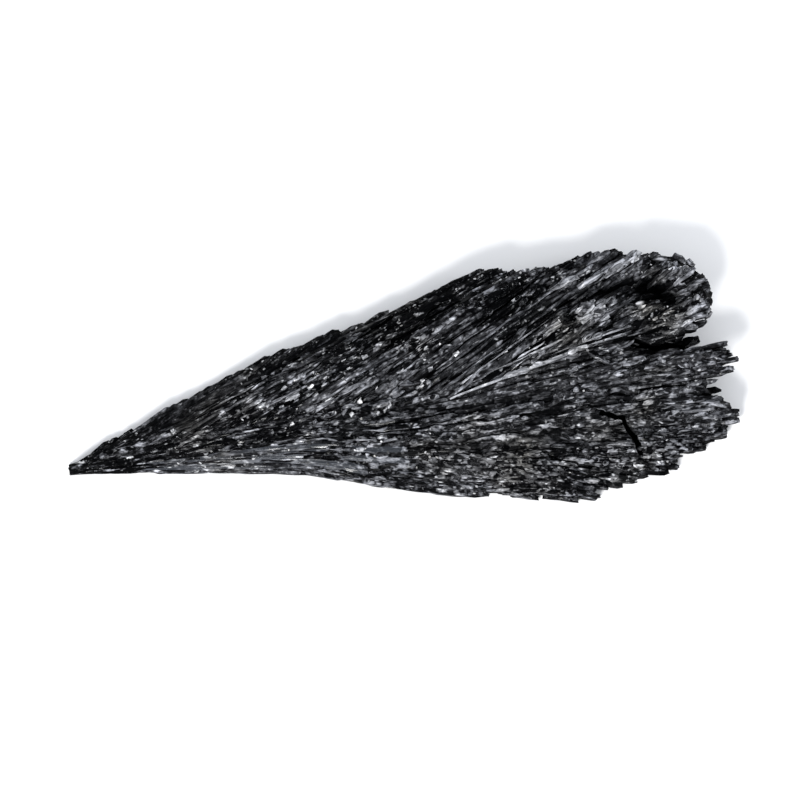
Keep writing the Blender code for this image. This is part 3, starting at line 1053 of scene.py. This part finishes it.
def strewn(name, body, shape, material, **sizes):
    """One piece made of many small copies of a shape, strewn over a body."""
    piece = strewing_tree(shape, material, **sizes).run(name, body.data.copy())
    bpy.data.objects.remove(shape)
    return piece


def keep_only_shading(mesh):
    """Takes the node trees' working numbers off a mesh, but for those its materials read."""
    working = set(GUIDE_VALUES) | {"blade", "centre", "forward", "from_start", "to_end", "section",
                                   "heading", "copy", "copy_size", "own_place"}
    for name in [attribute.name for attribute in mesh.attributes if attribute.name in working]:
        mesh.attributes.remove(mesh.attributes[name])


# ---- stage
def make_floor():
    """A wide square of white ground, a hair below the fan."""
    material, t, shader = principled("white_paper")
    t.fill(shader, {"Base Color": (0.86, 0.86, 0.87, 1.0), "Roughness": 0.8})
    mesh = bpy.data.meshes.new("floor")
    corners = [(-1.5, -1.5, 0), (1.5, -1.5, 0), (1.5, 1.5, 0), (-1.5, 1.5, 0)]
    mesh.from_pydata(corners, [], [(0, 1, 2, 3)])
    mesh.materials.append(material)
    floor = placed("floor", mesh)
    floor.location.z = -0.05 * MM
    floor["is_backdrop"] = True


def area_light(name, place, size, power, colour):
    light = bpy.data.lights.new(name, "AREA")
    light.shape, light.size, light.energy, light.color = "DISK", size, power, colour
    made = placed(name, light)
    made.location = place
    made.rotation_euler = (-Vector(place)).to_track_quat("-Z", "Y").to_euler()


def make_lights():
    area_light("key_light", (-0.26, -0.42, 0.52), 0.24, 6.0, (1.0, 0.99, 0.97))
    area_light("fill_light", (0.45, 0.1, 0.55), 0.5, 2.0, (0.95, 0.97, 1.0))
    world = bpy.data.worlds.new("studio")
    world.use_nodes = True
    background = world.node_tree.nodes["Background"]
    background.inputs["Color"].default_value = (0.93, 0.96, 1.0, 1.0)
    background.inputs["Strength"].default_value = 0.8
    bpy.context.scene.world = world
    bpy.context.scene.view_settings.view_transform = "Standard"


def make_camera():
    """Almost straight down on the fan, turned so that its long axis rises to the right."""
    distance, elevation, turn = 0.5, math.radians(82.0), math.radians(-8.9)
    camera = bpy.data.cameras.new("camera")
    camera.lens, camera.sensor_width = 232.0, 36.0
    made = placed("camera", camera)
    middle = Vector((0.0, 0.0, 0.004))
    away = Vector((math.sin(turn), -math.cos(turn), 0.0)) * math.cos(elevation)
    away.z = math.sin(elevation)
    made.location = middle + away * distance
    made.rotation_euler = (middle - made.location).to_track_quat("-Z", "Y").to_euler()
    bpy.context.scene.camera = made


def main():
    make_camera()
    make_lights()
    make_floor()
    kyanite = kyanite_material()
    fan = grown_fan(kyanite)
    splinters = strewn(
        "kyanite_splinters", fan, splinter_shape(), kyanite,
        spacing=0.5 * MM, smallest=(0.5 * MM, 0.22 * MM, 0.25 * MM),
        largest=(2.2 * MM, 0.55 * MM, 0.5 * MM), tilt=(0.5, 0.06, 0.12),
        rise=-0.04 * MM, wear=0.12 * MM, margins=(1.5 * MM, 2.4 * MM), seed=3,
    )
    flakes = strewn(
        "mica_flakes", fan, flake_shape(), mica_material(),
        spacing=0.6 * MM, smallest=(0.15 * MM, 0.12 * MM, 0.04 * MM),
        largest=(0.45 * MM, 0.3 * MM, 0.08 * MM), tilt=(0.4, 0.4, 3.1),
        rise=0.03 * MM, wear=0.05 * MM, margins=(0.1 * MM, 0.5 * MM), seed=11,
    )
    for piece in (fan, splinters, flakes):
        piece.data.set_sharp_from_angle(angle=math.radians(28))
        keep_only_shading(piece.data)
        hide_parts("black_kyanite")
        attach(piece, "root")


main()
